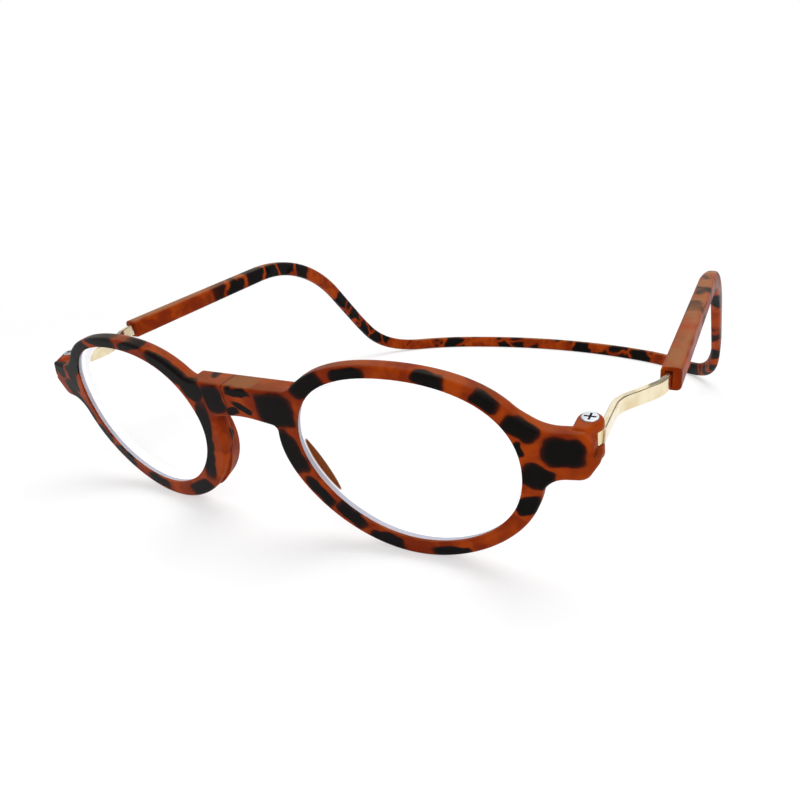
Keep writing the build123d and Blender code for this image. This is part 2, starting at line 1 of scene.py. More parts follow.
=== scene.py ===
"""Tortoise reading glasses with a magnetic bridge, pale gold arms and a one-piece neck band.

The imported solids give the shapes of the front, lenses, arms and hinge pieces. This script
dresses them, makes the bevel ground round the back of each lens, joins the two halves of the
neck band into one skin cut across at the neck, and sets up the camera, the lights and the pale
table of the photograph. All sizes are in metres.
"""
import logging
import math
from dataclasses import dataclass
from enum import Enum
from typing import Any, Mapping, Optional, Union

import bmesh
import bpy
from mathutils import Matrix, Vector


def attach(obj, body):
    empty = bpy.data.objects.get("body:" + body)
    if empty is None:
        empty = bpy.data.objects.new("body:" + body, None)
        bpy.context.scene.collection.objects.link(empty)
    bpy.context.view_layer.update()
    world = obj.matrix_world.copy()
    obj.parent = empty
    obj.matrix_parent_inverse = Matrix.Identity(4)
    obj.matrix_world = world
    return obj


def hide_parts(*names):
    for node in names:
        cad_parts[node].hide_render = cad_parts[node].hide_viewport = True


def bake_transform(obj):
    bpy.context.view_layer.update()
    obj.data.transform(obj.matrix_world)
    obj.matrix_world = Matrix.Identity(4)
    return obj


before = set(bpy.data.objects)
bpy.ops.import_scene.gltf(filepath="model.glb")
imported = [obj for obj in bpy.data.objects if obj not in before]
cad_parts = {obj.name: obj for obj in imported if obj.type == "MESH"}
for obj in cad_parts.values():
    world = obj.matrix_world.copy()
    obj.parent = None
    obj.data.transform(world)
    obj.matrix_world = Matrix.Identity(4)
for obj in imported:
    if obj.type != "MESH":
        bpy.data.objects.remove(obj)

logging.basicConfig(level=logging.INFO, format="%(name)s: %(message)s")
LOG = logging.getLogger("glasses")

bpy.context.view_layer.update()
MM = 0.001

Number = Union[int, float]
Colour = tuple[float, float, float]
Place = tuple[float, float, float]
Span = tuple[float, float]
Tint = Union[Colour, bpy.types.NodeSocket]
Owner = Union[bpy.types.Material, bpy.types.World]

WHITE: Colour = (1.0, 1.0, 1.0)
BLACK: Colour = (0.0, 0.0, 0.0)
FROST_PALE: Colour = (0.97, 0.97, 0.98)
# Frost settings, and a faint emission that is a painted glow keeping the frosted edges pale.
FROST_AND_GLOW_SOCKETS = {"Roughness": 0.7, "Specular IOR Level": 0.1, "Emission Strength": 0.3}
ACROSS: Place = (1, 0, 0)


def linear(red: int, green: int, blue: int) -> Colour:
    """Turn a colour of 0 to 255, as a screen shows it, into linear light.

    Args:
        red: The red share.
        green: The green share.
        blue: The blue share.

    Returns:
        The three linear shares, by the screen curve's own constants.
    """
    shares = []
    for level in (red, green, blue):
        part = level / 255
        shares.append(part / 12.92 if part <= 0.04045 else ((part + 0.055) / 1.055) ** 2.4)
    return (shares[0], shares[1], shares[2])


class Side(Enum):
    """The wearer's two sides."""

    LEFT = "left"
    RIGHT = "right"


@dataclass(frozen=True)
class Cloud:
    """A soft random pattern: its features' size, its finer layers, its twist and stretch."""

    size: float
    detail: float = 2.0
    twist: float = 0.0
    stretch: Place = (1.0, 1.0, 1.0)


@dataclass(frozen=True)
class Push:
    """How far a noise of one feature size pushes a pattern about."""

    size: float
    reach: float


class Signal:
    """A node socket that takes part in Python arithmetic."""

    def __init__(self, bench: "Bench", socket: bpy.types.NodeSocket) -> None:
        """Keep the socket and the bench that adds nodes for it."""
        self.bench = bench
        self.socket = socket

    def _maths(self, operation: str, *terms: Union["Signal", Number]) -> "Signal":
        """Add one Math node.

        Args:
            operation: The Math node's operation.
            terms: Its inputs, in order.

        Returns:
            The node's output.
        """
        inputs = dict(enumerate(terms))
        node = self.bench.node("ShaderNodeMath", {"operation": operation}, inputs)
        return Signal(self.bench, node.outputs[0])

    def __add__(self, other: Union["Signal", Number]) -> "Signal":
        """Add."""
        return self._maths("ADD", self, other)

    def __radd__(self, other: Number) -> "Signal":
        """Add to a number."""
        return self._maths("ADD", other, self)

    def __sub__(self, other: Union["Signal", Number]) -> "Signal":
        """Subtract."""
        return self._maths("SUBTRACT", self, other)

    def __rsub__(self, other: Number) -> "Signal":
        """Subtract from a number."""
        return self._maths("SUBTRACT", other, self)

    def __mul__(self, other: Union["Signal", Number]) -> "Signal":
        """Multiply."""
        return self._maths("MULTIPLY", self, other)

    def __rmul__(self, other: Number) -> "Signal":
        """Multiply a number."""
        return self._maths("MULTIPLY", other, self)

    def __pow__(self, other: Union["Signal", Number]) -> "Signal":
        """Raise to a power."""
        return self._maths("POWER", self, other)

    def __rpow__(self, other: Number) -> "Signal":
        """Raise a number to this power."""
        return self._maths("POWER", other, self)

    def least(self, other: Union["Signal", Number]) -> "Signal":
        """Take the lower of two values."""
        return self._maths("MINIMUM", self, other)

    def most(self, other: Union["Signal", Number]) -> "Signal":
        """Take the higher of two values."""
        return self._maths("MAXIMUM", self, other)

    def step(self, low: float, high: float) -> "Signal":
        """Rise smoothly from 0 to 1 between two values.

        Args:
            low: The value at which the rise starts.
            high: The value at which it ends.

        Returns:
            The eased share.
        """
        settings = {"interpolation_type": "SMOOTHSTEP"}
        inputs = {"Value": self, "From Min": low, "From Max": high}
        return Signal(self.bench, self.bench.node("ShaderNodeMapRange", settings, inputs).outputs[0])

    def about(self, middle: float, blur: float) -> "Signal":
        """Rise smoothly from 0 to 1 about a value, over a blur to each side of it."""
        return self.step(middle - blur, middle + blur)


class Bench:
    """The node tree of one material or world, and the one place that adds nodes to it."""

    columns: int = 12
    column_pitch: int = 220
    row_pitch: int = -180
    noise_middle: Place = (0.5, 0.5, 0.5)

    def __init__(self, name: str, world: bool = False) -> None:
        """Start an empty node tree.

        Args:
            name: The name of its owner.
            world: Whether the owner is a world and not a material.
        """
        owners = bpy.data.worlds if world else bpy.data.materials
        self.owner = owners.new(name)
        self.owner.use_nodes = True
        self.tree = self.owner.node_tree
        self.tree.nodes.clear()
        self.count = 0

    def node(self, kind: str, settings: Mapping[str, Any],
             inputs: Mapping[Any, Any]) -> bpy.types.Node:
        """Add a node, set it up and feed its sockets.

        Args:
            kind: The node's type name.
            settings: Its properties, which are set first.
            inputs: Socket name or number to a value, a signal or an output socket.

        Returns:
            The new node.
        """
        node = self.tree.nodes.new(kind)
        self.count += 1
        row, column = divmod(self.count, self.columns)
        node.location = (self.column_pitch * column, self.row_pitch * row)
        for key, setting in settings.items():
            setattr(node, key, setting)
        for key, fed in inputs.items():
            socket = node.inputs[key]
            if isinstance(fed, Signal):
                self.tree.links.new(fed.socket, socket)
            elif isinstance(fed, bpy.types.NodeSocket):
                self.tree.links.new(fed, socket)
            elif socket.type == "RGBA":
                socket.default_value = (*fed, 1.0)
            else:
                socket.default_value = fed
        return node

    def place(self, shift: Place = (0, 0, 0),
              stretch: Place = (1, 1, 1)) -> bpy.types.NodeSocket:
        """Give the object coordinates, moved and stretched.

        Args:
            shift: How far the pattern moves.
            stretch: How much the coordinates grow along each axis.

        Returns:
            The vector socket.
        """
        start = self.node("ShaderNodeTexCoord", {}, {})
        inputs = {"Vector": start.outputs["Object"], "Location": shift, "Scale": stretch}
        return self.node("ShaderNodeMapping", {}, inputs).outputs[0]

    def axis(self, name: str) -> Signal:
        """Give one of the object coordinates, X, Y or Z."""
        split = self.node("ShaderNodeSeparateXYZ", {}, {0: self.place()})
        return Signal(self, split.outputs[name])

    def normal(self, name: str) -> Signal:
        """Give one part of the surface's own normal.

        Args:
            name: X, Y or Z.

        Returns:
            That part.
        """
        start = self.node("ShaderNodeTexCoord", {}, {})
        split = self.node("ShaderNodeSeparateXYZ", {}, {0: start.outputs["Normal"]})
        return Signal(self, split.outputs[name])

    def seen(self) -> Signal:
        """Tell the rays that reach the eye straight, by a mirror or through a lens.

        Returns:
            1 for such a ray and 0 for any other.
        """
        paths = self.node("ShaderNodeLightPath", {}, {})
        straight = Signal(self, paths.outputs["Is Camera Ray"])
        mirrored = Signal(self, paths.outputs["Is Glossy Ray"])
        through = Signal(self, paths.outputs["Is Transmission Ray"])
        return straight.most(mirrored).most(through)

    def vector(self, operation: str, inputs: Mapping[Any, Any]) -> bpy.types.Node:
        """Add one Vector Math node.

        Args:
            operation: The node's operation.
            inputs: What its sockets get.

        Returns:
            The node.
        """
        return self.node("ShaderNodeVectorMath", {"operation": operation}, inputs)

    def noise(self, cloud: Cloud, where: Optional[bpy.types.NodeSocket] = None) -> Signal:
        """Give a soft random value.

        Args:
            cloud: The pattern.
            where: The coordinates, the object's own if left out.

        Returns:
            The value, near 0.5 on average.
        """
        if where is None:
            where = self.place(stretch=cloud.stretch)
        inputs = {
            "Vector": where,
            "Scale": 1 / cloud.size,
            "Detail": cloud.detail,
            "Roughness": 0.5,
            "Distortion": cloud.twist,
        }
        return Signal(self, self.node("ShaderNodeTexNoise", {}, inputs).outputs[0])

    def warp(self, where: bpy.types.NodeSocket, push: Push) -> bpy.types.NodeSocket:
        """Push coordinates about by a noise.

        Args:
            where: The coordinates.
            push: The noise's feature size and how far it pushes.

        Returns:
            The pushed coordinates.
        """
        inputs = {"Vector": where, "Scale": 1 / push.size, "Detail": 1.0}
        noise = self.node("ShaderNodeTexNoise", {}, inputs)
        centred = self.vector("SUBTRACT", {0: noise.outputs[1], 1: self.noise_middle})
        scaled = self.vector("SCALE", {0: centred.outputs[0], "Scale": push.reach})
        return self.vector("ADD", {0: where, 1: scaled.outputs[0]}).outputs[0]

    def spot(self, centre: Place, reach: float, blur: float) -> Signal:
        """Give a soft round mask about a point.

        Args:
            centre: The point.
            reach: The mask's radius.
            blur: Half the width of its edge.

        Returns:
            A share that is 1 inside and 0 outside.
        """
        gap = self.vector("DISTANCE", {0: self.place(), 1: centre})
        return 1 - Signal(self, gap.outputs["Value"]).about(reach, blur)

    def mix(self, share: Union[Signal, float], under: Tint, over: Tint) -> bpy.types.NodeSocket:
        """Mix two colours.

        Args:
            share: How much of the second colour shows.
            under: The first colour or socket.
            over: The second colour or socket.

        Returns:
            The mixed colour's socket.
        """
        node = self.node("ShaderNodeMix", {"data_type": "RGBA"}, {0: share, 6: under, 7: over})
        return node.outputs[2]

    def bump(self, height: Signal, reach: float, strength: float) -> bpy.types.NodeSocket:
        """Turn a height into a normal.

        Args:
            height: The height share.
            reach: The height of a full share, in metres.
            strength: How strongly it shows.

        Returns:
            The normal socket.
        """
        inputs = {"Height": height, "Distance": reach, "Strength": strength}
        return self.node("ShaderNodeBump", {}, inputs).outputs[0]

    def surface(self, inputs: Mapping[str, Any]) -> bpy.types.Material:
        """Finish the material with one principled shader.

        Args:
            inputs: The shader's sockets.

        Returns:
            The material.
        """
        shader = self.node("ShaderNodeBsdfPrincipled", {}, inputs)
        self.node("ShaderNodeOutputMaterial", {}, {"Surface": shader.outputs[0]})
        return self.owner

    def blended(self, share: Signal, under: bpy.types.Node, over: bpy.types.Node,
                output: str = "ShaderNodeOutputMaterial") -> Owner:
        """Finish the tree with two shaders mixed.

        Args:
            share: How much of the second shader shows.
            under: The first shader.
            over: The second shader.
            output: The type name of the output node.

        Returns:
            The material or world.
        """
        shaders = {0: share, 1: under.outputs[0], 2: over.outputs[0]}
        both = self.node("ShaderNodeMixShader", {}, shaders)
        self.node(output, {}, {"Surface": both.outputs[0]})
        return self.owner


@dataclass(frozen=True)
class Lean:
    """The front's leaning frame: across, up the lean, and backwards."""

    angle: float = math.radians(16.2)
    origin: Place = (0.0, -94.938 * MM, 19.965 * MM)
    radius: float = 345.0 * MM

    @property
    def sine(self) -> float:
        """The sine of the lean."""
        return math.sin(self.angle)

    @property
    def cosine(self) -> float:
        """The cosine of the lean."""
        return math.cos(self.angle)

    def sweep(self, across: float) -> float:
        """Tell how far the front's arc has swept back at a distance from the middle."""
        return self.radius - math.sqrt(self.radius**2 - across**2)

    def point(self, across: float, height: float, depth: float = 0.0) -> Place:
        """Place a point of the front.

        Args:
            across: Its distance from the middle.
            height: Its height up the lean.
            depth: How far it lies behind the front's arc.

        Returns:
            The point.
        """
        full = depth + self.sweep(across)
        y = self.origin[1] - height * self.sine + full * self.cosine
        z = self.origin[2] + height * self.cosine + full * self.sine
        return (across, y, z)

    def turn(self, angle: float) -> Place:
        """Turn a flat pattern onto the front.

        Args:
            angle: The pattern's own turn on the front, in degrees.

        Returns:
            The three Euler angles.
        """
        upright = Matrix.Rotation(math.pi / 2 + self.angle, 3, "X")
        turned = upright @ Matrix.Rotation(math.radians(angle), 3, "Z")
        return tuple(turned.to_euler("XYZ"))

    def height(self, bench: Bench) -> Signal:
        """Give the height up the lean as a signal."""
        up = bench.axis("Z") * self.cosine - bench.axis("Y") * self.sine
        return up - (self.origin[2] * self.cosine - self.origin[1] * self.sine)

    def behind(self, bench: Bench) -> Signal:
        """Give the depth behind the front's arc as a signal.

        Args:
            bench: The material's bench.

        Returns:
            The depth, for which a parabola stands in for the arc.
        """
        depth = bench.axis("Y") * self.cosine + bench.axis("Z") * self.sine
        across = bench.axis("X")
        swept = depth - across * across * (0.5 / self.radius)
        return swept - (self.origin[1] * self.cosine + self.origin[2] * self.sine)

    def local(self, bench: Bench, where: bpy.types.NodeSocket, place: Place, angle: float,
              halves: Place) -> bpy.types.NodeSocket:
        """Give the coordinates of a patch that lies on the front.

        Args:
            bench: The material's bench.
            where: The coordinates to turn.
            place: The patch's middle.
            angle: Its turn on the front, in degrees.
            halves: Its half length, half width and half depth.

        Returns:
            Coordinates that are 1 at the patch's ends.
        """
        return bench.node("ShaderNodeMapping", {"vector_type": "TEXTURE"}, {
            "Vector": where,
            "Location": place,
            "Rotation": self.turn(angle),
            "Scale": halves,
        }).outputs[0]


LEAN = Lean()


@dataclass(frozen=True)
class Patch:
    """One dark patch of the front, in millimetres and degrees."""

    across: float
    height: float
    long_half: float
    short_half: float
    angle: float
    depth_half: float = 1.3

    def reach(self, bench: Bench, where: bpy.types.NodeSocket) -> Signal:
        """Measure how far a point lies from the patch's middle.

        Args:
            bench: The material's bench.
            where: The coordinates.

        Returns:
            The fourth power of the distance, 1 at the patch's edge.
        """
        place = LEAN.point(self.across * MM, self.height * MM)
        halves = (self.long_half * MM, self.short_half * MM, self.depth_half * MM)
        local = LEAN.local(bench, where, place, self.angle, halves)
        square = bench.vector("MULTIPLY", {0: local, 1: local}).outputs[0]
        fourth = bench.vector("DOT_PRODUCT", {0: square, 1: square})
        return Signal(bench, fourth.outputs["Value"])


FRONT_PATCHES = (
    Patch(25.2, 16.0, 3.6, 1.2, 8),
    Patch(39.1, 15.9, 2.8, 1.7, -21),
    Patch(47.6, 12.6, 2.4, 1.5, -31),
    Patch(52.4, 8.0, 3.1, 1.8, -35),
    Patch(58.6, 4.0, 3.6, 2.8, -3),
    Patch(54.6, -1.0, 3.0, 2.3, -23),
    Patch(52.2, 4.2, 1.6, 0.6, -83),
    Patch(52.9, -7.0, 2.6, 1.9, 20),
    Patch(38.2, -19.3, 4.2, 1.3, 9),
    Patch(25.7, -18.8, 3.9, 1.7, -15),
    Patch(19.0, -14.2, 3.6, 1.8, -45),
    Patch(13.4, -9.8, 3.8, 1.6, -55),
    Patch(9.4, -1.3, 5.2, 2.5, -73),
    Patch(16.8, 13.3, 4.2, 1.9, 28),
    Patch(8.6, 7.4, 4.4, 3.8, 4),
    Patch(1.0, 7.0, 2.4, 0.8, -25),
    Patch(0.8, 10.2, 3.2, 0.8, -3),
    Patch(-1.9, 5.8, 1.8, 0.8, 20),
    Patch(-5.7, 8.0, 2.6, 3.2, 4),
    Patch(-10.8, 9.4, 3.0, 2.7, -48),
    Patch(-12.6, -3.0, 11.0, 1.9, -108),
    Patch(-16.2, 13.2, 5.7, 1.9, -35),
    Patch(-25.0, 17.0, 4.0, 1.0, 12, 3.0),
    Patch(-36.0, 17.0, 6.5, 1.5, -6, 3.2),
    Patch(-48.5, 10.5, 8.0, 1.7, 40),
    Patch(-54.8, 4.0, 3.0, 1.7, 70),
    Patch(-60.2, 6.4, 3.0, 2.3, -19),
    Patch(-57.9, 1.2, 2.6, 2.0, -70),
    Patch(-55.2, -3.2, 4.2, 1.5, -66),
    Patch(-51.2, -9.8, 3.0, 1.4, -56),
    Patch(-46.2, -14.6, 3.8, 1.4, -38),
    Patch(-36.0, -18.9, 3.9, 1.5, -8),
    Patch(-20.2, -16.4, 4.6, 1.9, 33),
    # The last two patches darken the upper part of the far rim further.
    Patch(-41.6, 14.2, 3.6, 1.3, -24),
    Patch(-53.2, 9.0, 4.0, 1.9, 50),
)


@dataclass(frozen=True)
class TortoiseFinish:
    """Satin plastic, orange brown with soft dark patches, with a painted highlight on the faces that
    look up and a painted side reflection on the outer faces.
    """

    name: str
    amber: Colour = linear(150, 56, 1)
    rust: Colour = linear(116, 34, 1)
    umber: Colour = linear(48, 11, 3)
    black: Colour = linear(9, 6, 5)
    tone: Cloud = Cloud(5 * MM, twist=0.3)
    tone_push: Push = Push(4 * MM, 3 * MM)
    tone_rise: Span = (0.34, 0.66)
    umber_rise: Span = (0.0, 0.5)
    black_rise: Span = (0.35, 0.95)

    cell: float = 5.2 * MM
    cell_rise: Span = (0.0, 0.2)
    amber_share: float = 0.5
    amber_blur: float = 0.02
    shift: Place = (0.0, 0.0, 0.0)
    coarse_push: Push = Push(5 * MM, 3.4 * MM)
    fine_push: Push = Push(1.6 * MM, 0.7 * MM)
    plain_before: Optional[float] = None
    plain_blur: float = 9 * MM

    patches: tuple[Patch, ...] = ()
    patch_push: Push = Push(2.8 * MM, 1.4 * MM)
    patch_rise: Span = (0.62, 1.14)
    back_rise: Span = (1.8 * MM, 2.8 * MM)
    seam_across: float = -2.8 * MM
    seam_half: float = 0.11 * MM

    # Painted highlight: the pale colour laid on the faces that look up, where the lamps light the
    # satin, in clouds, fading over the dark patches, and brighter in a spot on the bridge's top.
    painted_highlight: Colour = linear(128, 84, 48)
    highlight_share: float = 0.35
    highlight_cloud: Cloud = Cloud(7 * MM, 3.0)
    highlight_rise: Span = (0.2, 0.7)
    highlight_most: float = 0.9
    highlight_loss: float = 0.85
    top_rise: Span = (0.55, 0.98)
    highlight_spot: Place = (0.8 * MM, -96.0 * MM, 31.3 * MM)
    highlight_spot_share: float = 0.8
    highlight_spot_reach: float = 3.6 * MM
    highlight_spot_blur: float = 1.2 * MM

    # Painted side reflection: a cloudy grey sheen of the lamps laid on the outer faces that look
    # sideways.
    side_reflection: Colour = linear(136, 116, 112)
    sheen_share: float = 0.0
    sheen_cloud: Cloud = Cloud(4 * MM, stretch=(1.0, 0.25, 1.0))
    sheen_rise: Span = (0.38, 0.62)
    side_rise: Span = (0.4, 0.9)
    outer_reach: float = 0.01

    grain: Cloud = Cloud(0.35 * MM, 3.0)
    grain_height: float = 0.02 * MM
    grain_strength: float = 0.35
    scuff: Cloud = Cloud(5 * MM, 4.0)
    roughness: float = 0.38
    scuff_roughness: float = 0.12
    gloss: float = 0.05

    def cells(self, bench: Bench) -> Signal:
        """Give the plastic's own angular patches, parted by thin amber lines.

        Args:
            bench: The material's bench.

        Returns:
            A share that is 1 in the middle of a patch.
        """
        rough = bench.warp(bench.place(self.shift), self.coarse_push)
        rough = bench.warp(rough, self.fine_push)
        inputs = {"Vector": rough, "Scale": 1 / self.cell, "Randomness": 1.0}
        edges = bench.node("ShaderNodeTexVoronoi", {"feature": "DISTANCE_TO_EDGE"}, inputs)
        whole = bench.node("ShaderNodeTexVoronoi", {"feature": "F1"}, inputs)
        split = bench.node("ShaderNodeSeparateColor", {}, {0: whole.outputs["Color"]})
        chosen = Signal(bench, split.outputs[0]).about(self.amber_share, self.amber_blur)
        return chosen * Signal(bench, edges.outputs["Distance"]).step(*self.cell_rise)

    def placed(self, bench: Bench) -> Signal:
        """Give the patches that have their own places.

        Args:
            bench: The material's bench.

        Returns:
            A share that is 1 in the middle of a patch.
        """
        where = bench.warp(bench.place(), self.patch_push)
        nearest = self.patches[0].reach(bench, where)
        for patch in self.patches[1:]:
            nearest = nearest.least(patch.reach(bench, where))
        return 1 - (nearest**0.25).step(*self.patch_rise)

    def darkness(self, bench: Bench) -> Signal:
        """Give the dark of all the patches and of the seam at the bridge.

        Args:
            bench: The material's bench.

        Returns:
            A share that is 1 where the plastic is darkest.
        """
        dark = self.cells(bench)
        if self.plain_before is not None:
            dark = dark * bench.axis("Y").about(self.plain_before, self.plain_blur)
        if self.patches:
            back = LEAN.behind(bench).step(*self.back_rise)
            dark = (dark * back).most(self.placed(bench))
            gap = bench.axis("X") - self.seam_across
            dark = dark.most(1 - (gap * gap).step(0.0, self.seam_half**2))
        return dark

    def with_painted_highlight(self, bench: Bench, base: bpy.types.NodeSocket, dark: Signal) -> bpy.types.NodeSocket:
        """Paint the lamps' pale highlight on the faces that look up.

        Args:
            bench: The material's bench.
            base: The colour so far.
            dark: How dark the plastic is.

        Returns:
            The colour with its painted highlight.
        """
        rise = bench.normal("Z").step(*self.top_rise)
        cloud = bench.noise(self.highlight_cloud).step(*self.highlight_rise)
        painted_highlight = (self.highlight_share * rise * cloud).least(self.highlight_most)
        if self.patches:
            # A brighter painted highlight spot on the bridge's top.
            pale = bench.spot(self.highlight_spot, self.highlight_spot_reach, self.highlight_spot_blur)
            painted_highlight = painted_highlight.most(self.highlight_spot_share * rise * pale)
        return bench.mix(painted_highlight * (1 - self.highlight_loss * dark), base, self.painted_highlight)

    def with_side_reflection(self, bench: Bench, base: bpy.types.NodeSocket) -> bpy.types.NodeSocket:
        """Paint a cloudy grey reflection of the lamps on the faces that look out to either side.

        Args:
            bench: The material's bench.
            base: The colour so far.

        Returns:
            The colour with its painted reflection.
        """
        sideways = (bench.normal("X") * bench.normal("X")).step(*self.side_rise)
        outer = (bench.normal("X") * bench.axis("X")).step(0.0, self.outer_reach)
        cloud = bench.noise(self.sheen_cloud).step(*self.sheen_rise)
        return bench.mix(self.sheen_share * cloud * outer * sideways, base, self.side_reflection)

    def make(self) -> bpy.types.Material:
        """Build the material.

        Returns:
            The material.
        """
        bench = Bench(self.name)
        dark = self.darkness(bench)
        pushed = bench.warp(bench.place(), self.tone_push)
        tone = bench.noise(self.tone, pushed).step(*self.tone_rise)
        base = bench.mix(tone, self.amber, self.rust)
        base = bench.mix(dark.step(*self.umber_rise), base, self.umber)
        base = bench.mix(dark.step(*self.black_rise), base, self.black)
        base = self.with_painted_highlight(bench, base, dark)
        if self.sheen_share:
            base = self.with_side_reflection(bench, base)
        grain = bench.noise(self.grain)
        return bench.surface({
            "Base Color": base,
            "Roughness": self.roughness + self.scuff_roughness * bench.noise(self.scuff),
            "Specular IOR Level": self.gloss,
            "Normal": bench.bump(grain, self.grain_height, self.grain_strength),
        })


@dataclass(frozen=True)
class PadWindow:
    """The stretch of the lens's edge that shows the nose pad's brown behind it."""

    colour: Colour = linear(128, 66, 24)
    across: float = 12.9 * MM
    height: float = -5.4 * MM
    halves: Place = (8.4 * MM, 1.75 * MM, 12.0 * MM)
    angle: float = -66.0
    edge_rise: Span = (0.88, 1.06)

    def mask(self, bench: Bench) -> Signal:
        """Give a share that is 1 in front of the pad, on either side.

        Args:
            bench: The material's bench.

        Returns:
            The share.
        """
        across = bench.axis("X")
        inputs = {0: (across * across) ** 0.5, 1: bench.axis("Y"), 2: bench.axis("Z")}
        folded = bench.node("ShaderNodeCombineXYZ", {}, inputs).outputs[0]
        place = LEAN.point(self.across, self.height)
        local = LEAN.local(bench, folded, place, self.angle, self.halves)
        gap = bench.vector("LENGTH", {0: local})
        return 1 - Signal(bench, gap.outputs["Value"]).step(*self.edge_rise)


@dataclass(frozen=True)
class LensFinish:
    """Clear polished plastic with a ground, frosted edge that has a faint painted glow."""

    name: str = "clear_lens"
    smear: Cloud = Cloud(9 * MM, 3.0)
    clear_roughness: float = 0.01
    smear_roughness: float = 0.02
    bending: float = 1.05
    frost: Colour = linear(190, 190, 202)
    ground: Cloud = Cloud(0.5 * MM, 3.0)
    frost_share: float = 0.8
    ground_share: float = 0.4
    grey_start: float = 0.55 * MM
    grey_end: float = 1.9 * MM
    grey_blur: float = 0.25 * MM
    facing_rise: Span = (0.2, 0.45)
    pad: PadWindow = PadWindow()

    def frosted(self, bench: Bench) -> bpy.types.Node:
        """Make the shader of the lens's side wall, grey in front and pale behind, the pale part with
        a painted glow.

        Args:
            bench: The material's bench.

        Returns:
            The shader.
        """
        depth = LEAN.behind(bench)
        grey = depth.about(self.grey_start, self.grey_blur)
        grey = grey * (1 - depth.about(self.grey_end, self.grey_blur))
        brown = self.pad.mask(bench) * depth.step(self.grey_end, self.grey_end + 2 * self.grey_blur)
        share = grey * (self.frost_share + self.ground_share * bench.noise(self.ground))
        wall = bench.mix(share, FROST_PALE, self.frost)
        return bench.node("ShaderNodeBsdfPrincipled", {}, {
            **FROST_AND_GLOW_SOCKETS,
            "Base Color": bench.mix(brown, wall, self.pad.colour),
            # Painted glow: the pale part of the wall glows; the grey band and the pad's brown do
            # not.
            "Emission Color": bench.mix(grey.most(brown), FROST_PALE, BLACK),
        })

    def make(self) -> bpy.types.Material:
        """Build the material.

        Returns:
            The material.
        """
        bench = Bench(self.name)
        clear = bench.node("ShaderNodeBsdfPrincipled", {}, {
            "Base Color": WHITE,
            "Roughness": self.clear_roughness + self.smear_roughness * bench.noise(self.smear),
            "IOR": self.bending,
            "Transmission Weight": 1.0,
        })
        facing = bench.normal("Y") * LEAN.cosine + bench.normal("Z") * LEAN.sine
        edge = 1 - (facing * facing).step(*self.facing_rise)
        return bench.blended(edge, clear, self.frosted(bench))


@dataclass(frozen=True)
class BevelFinish:
    """Ground, frosted plastic with a faint painted glow."""

    name: str = "frosted_bevel"
    ground: Cloud = Cloud(0.4 * MM, 3.0)
    ground_share: float = 0.3
    ground_colour: Colour = linear(236, 236, 242)
    pad: PadWindow = PadWindow()

    def make(self) -> bpy.types.Material:
        """Build the material.

        Returns:
            The material.
        """
        bench = Bench(self.name)
        brown = self.pad.mask(bench)
        share = bench.noise(self.ground) * self.ground_share
        pale = bench.mix(share, FROST_PALE, self.ground_colour)
        return bench.surface({
            **FROST_AND_GLOW_SOCKETS,
            "Base Color": bench.mix(brown, pale, self.pad.colour),
            # Painted glow of the pale bevel, none where the pad's brown shows.
            "Emission Color": bench.mix(brown, FROST_PALE, BLACK),
        })


@dataclass(frozen=True)
class MetalFinish:
    """Polished or plain metal with a faint drawn grain and, by its edge share, painted dark
    reflections.
    """

    name: str
    colour: Colour
    shade: Colour
    roughness: float
    cloud: Cloud = Cloud(4 * MM, 3.0)
    cloud_rise: Span = (0.35, 0.75)
    drawn: Cloud = Cloud(0.4 * MM, stretch=(1.0, 0.12, 1.0))
    drawn_roughness: float = 0.06
    drawn_height: float = 0.004 * MM
    drawn_strength: float = 0.25
    # Painted dark reflections: how strongly, in what colour, and where they fall.
    edge: float = 0.0
    reflection_colour: Colour = linear(70, 54, 24)
    corner_start: Span = (0.04, 0.2)
    corner_end: Span = (0.9, 0.985)
    streak: Cloud = Cloud(4 * MM, 1.0, stretch=(1.0, 0.35, 1.0))
    streak_rise: Span = (0.47, 0.56)
    top_rise: Span = (0.8, 0.95)

    def reflections(self, bench: Bench) -> Signal:
        """Give the painted dark reflections at the corners and in streaks along the top.

        Args:
            bench: The material's bench.

        Returns:
            A share that is 1 where a dark reflection is painted.
        """
        rise = bench.normal("Z")
        corner = rise.step(*self.corner_start) * (1 - rise.step(*self.corner_end))
        streak = bench.noise(self.streak).step(*self.streak_rise)
        return corner.most(rise.step(*self.top_rise) * streak)

    def make(self) -> bpy.types.Material:
        """Build the material.

        Returns:
            The material.
        """
        bench = Bench(self.name)
        drawn = bench.noise(self.drawn)
        cloud = bench.noise(self.cloud).step(*self.cloud_rise)
        base = bench.mix(cloud, self.colour, self.shade)
        if self.edge:
            base = bench.mix(self.reflections(bench) * self.edge, base, self.reflection_colour)
        return bench.surface({
            "Base Color": base,
            "Metallic": 1.0,
            "Roughness": self.roughness + self.drawn_roughness * drawn,
            "Normal": bench.bump(drawn, self.drawn_height, self.drawn_strength),
        })


